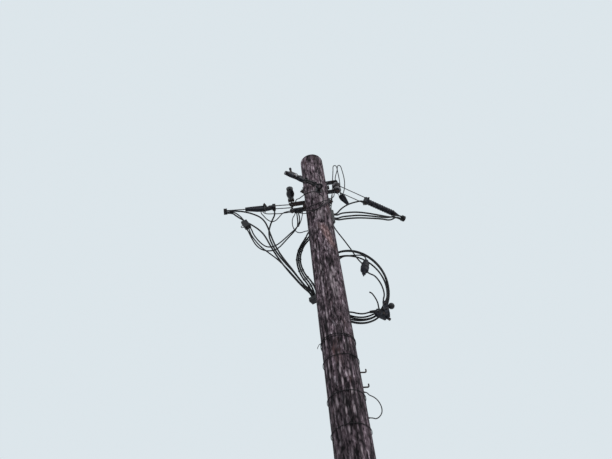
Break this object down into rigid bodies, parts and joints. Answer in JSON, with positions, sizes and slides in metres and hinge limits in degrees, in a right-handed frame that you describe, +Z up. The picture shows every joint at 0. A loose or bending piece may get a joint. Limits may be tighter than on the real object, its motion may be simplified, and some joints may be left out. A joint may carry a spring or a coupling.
{
  "type": "wooden utility pole",
  "caption": "Wooden telephone pole from ground level up, with strain clamps, a spool, an egg insulator, cable loops, a splitter box and a slack coil behind it.",
  "frame": {"origin": "centre of the pole's section at ground level", "axes": "+Z up the pole, +X to the right as the picture shows it, +Y away from the camera"},
  "size_m": [1.6791, 0.8601, 6.25],
  "materials": {
    "wood": "weathered, dry, with open checks",
    "galvanised": "dull galvanised, stained",
    "rusty_steel": "rusty",
    "alloy": "dull, weathered",
    "glazed": "glazed, dirty",
    "black_rubber": "matt",
    "black_plastic": "matt",
    "grey_plastic": "matt",
    "black_cable": "matt sheath",
    "wire": "dull, partly bare"
  },
  "bodies": {
    "root": {"pole_shaft": "wood", "front_eye_bolt": "galvanised", "bracket_bolts": "rusty_steel", "curved_washers": "galvanised", "square_nuts": "rusty_steel", "right_d_iron": "galvanised", "spool_insulator": "glazed", "bracket_pins": "rusty_steel", "left_clevis": "rusty_steel", "wire_bails": "galvanised", "left_clamp_jaw": "alloy", "left_clamp_keeper": "alloy", "clamp_bolts": "galvanised", "strand_ends": "galvanised", "lashing_wraps": "black_rubber", "front_strain_clamp": "alloy", "strain_insulator": "glazed", "right_grip_rods": "galvanised", "right_strand_clamp": "alloy", "drop_clamp": "alloy", "cable_cleats": "black_plastic", "drive_hooks": "rusty_steel", "slack_coil": "black_cable", "pole_tie_wires": "rusty_steel", "left_bond_clip": "alloy", "connector_block": "black_plastic", "splitter_box": "grey_plastic", "tap_block": "alloy", "ball_connector": "black_plastic", "drip_cable_a": "black_cable", "drip_cable_b": "black_cable", "drip_cable_c": "black_cable", "block_lead_in": "black_cable", "block_lead_a": "black_cable", "block_lead_b": "black_cable", "block_lead_c": "black_cable", "tail_wire_left": "wire", "bond_wire_left": "wire", "eye_wire_a": "wire", "eye_wire_b": "wire", "front_jumper_a": "wire", "front_jumper_b": "wire", "front_jumper_c": "wire", "strand_tail": "black_cable", "right_cable_a": "black_cable", "right_cable_b": "black_cable", "right_cable_c": "black_cable", "drop_lead_right": "black_cable", "back_cable_a": "black_cable", "back_cable_b": "black_cable", "back_cable_c": "black_cable", "splitter_feed": "black_cable", "splitter_lead": "black_cable", "tap_lead": "black_cable", "loose_end": "black_cable", "loop_wire": "wire", "loop_wire_2": "wire", "hook_wire_a": "wire"}
  },
  "joints": []
}
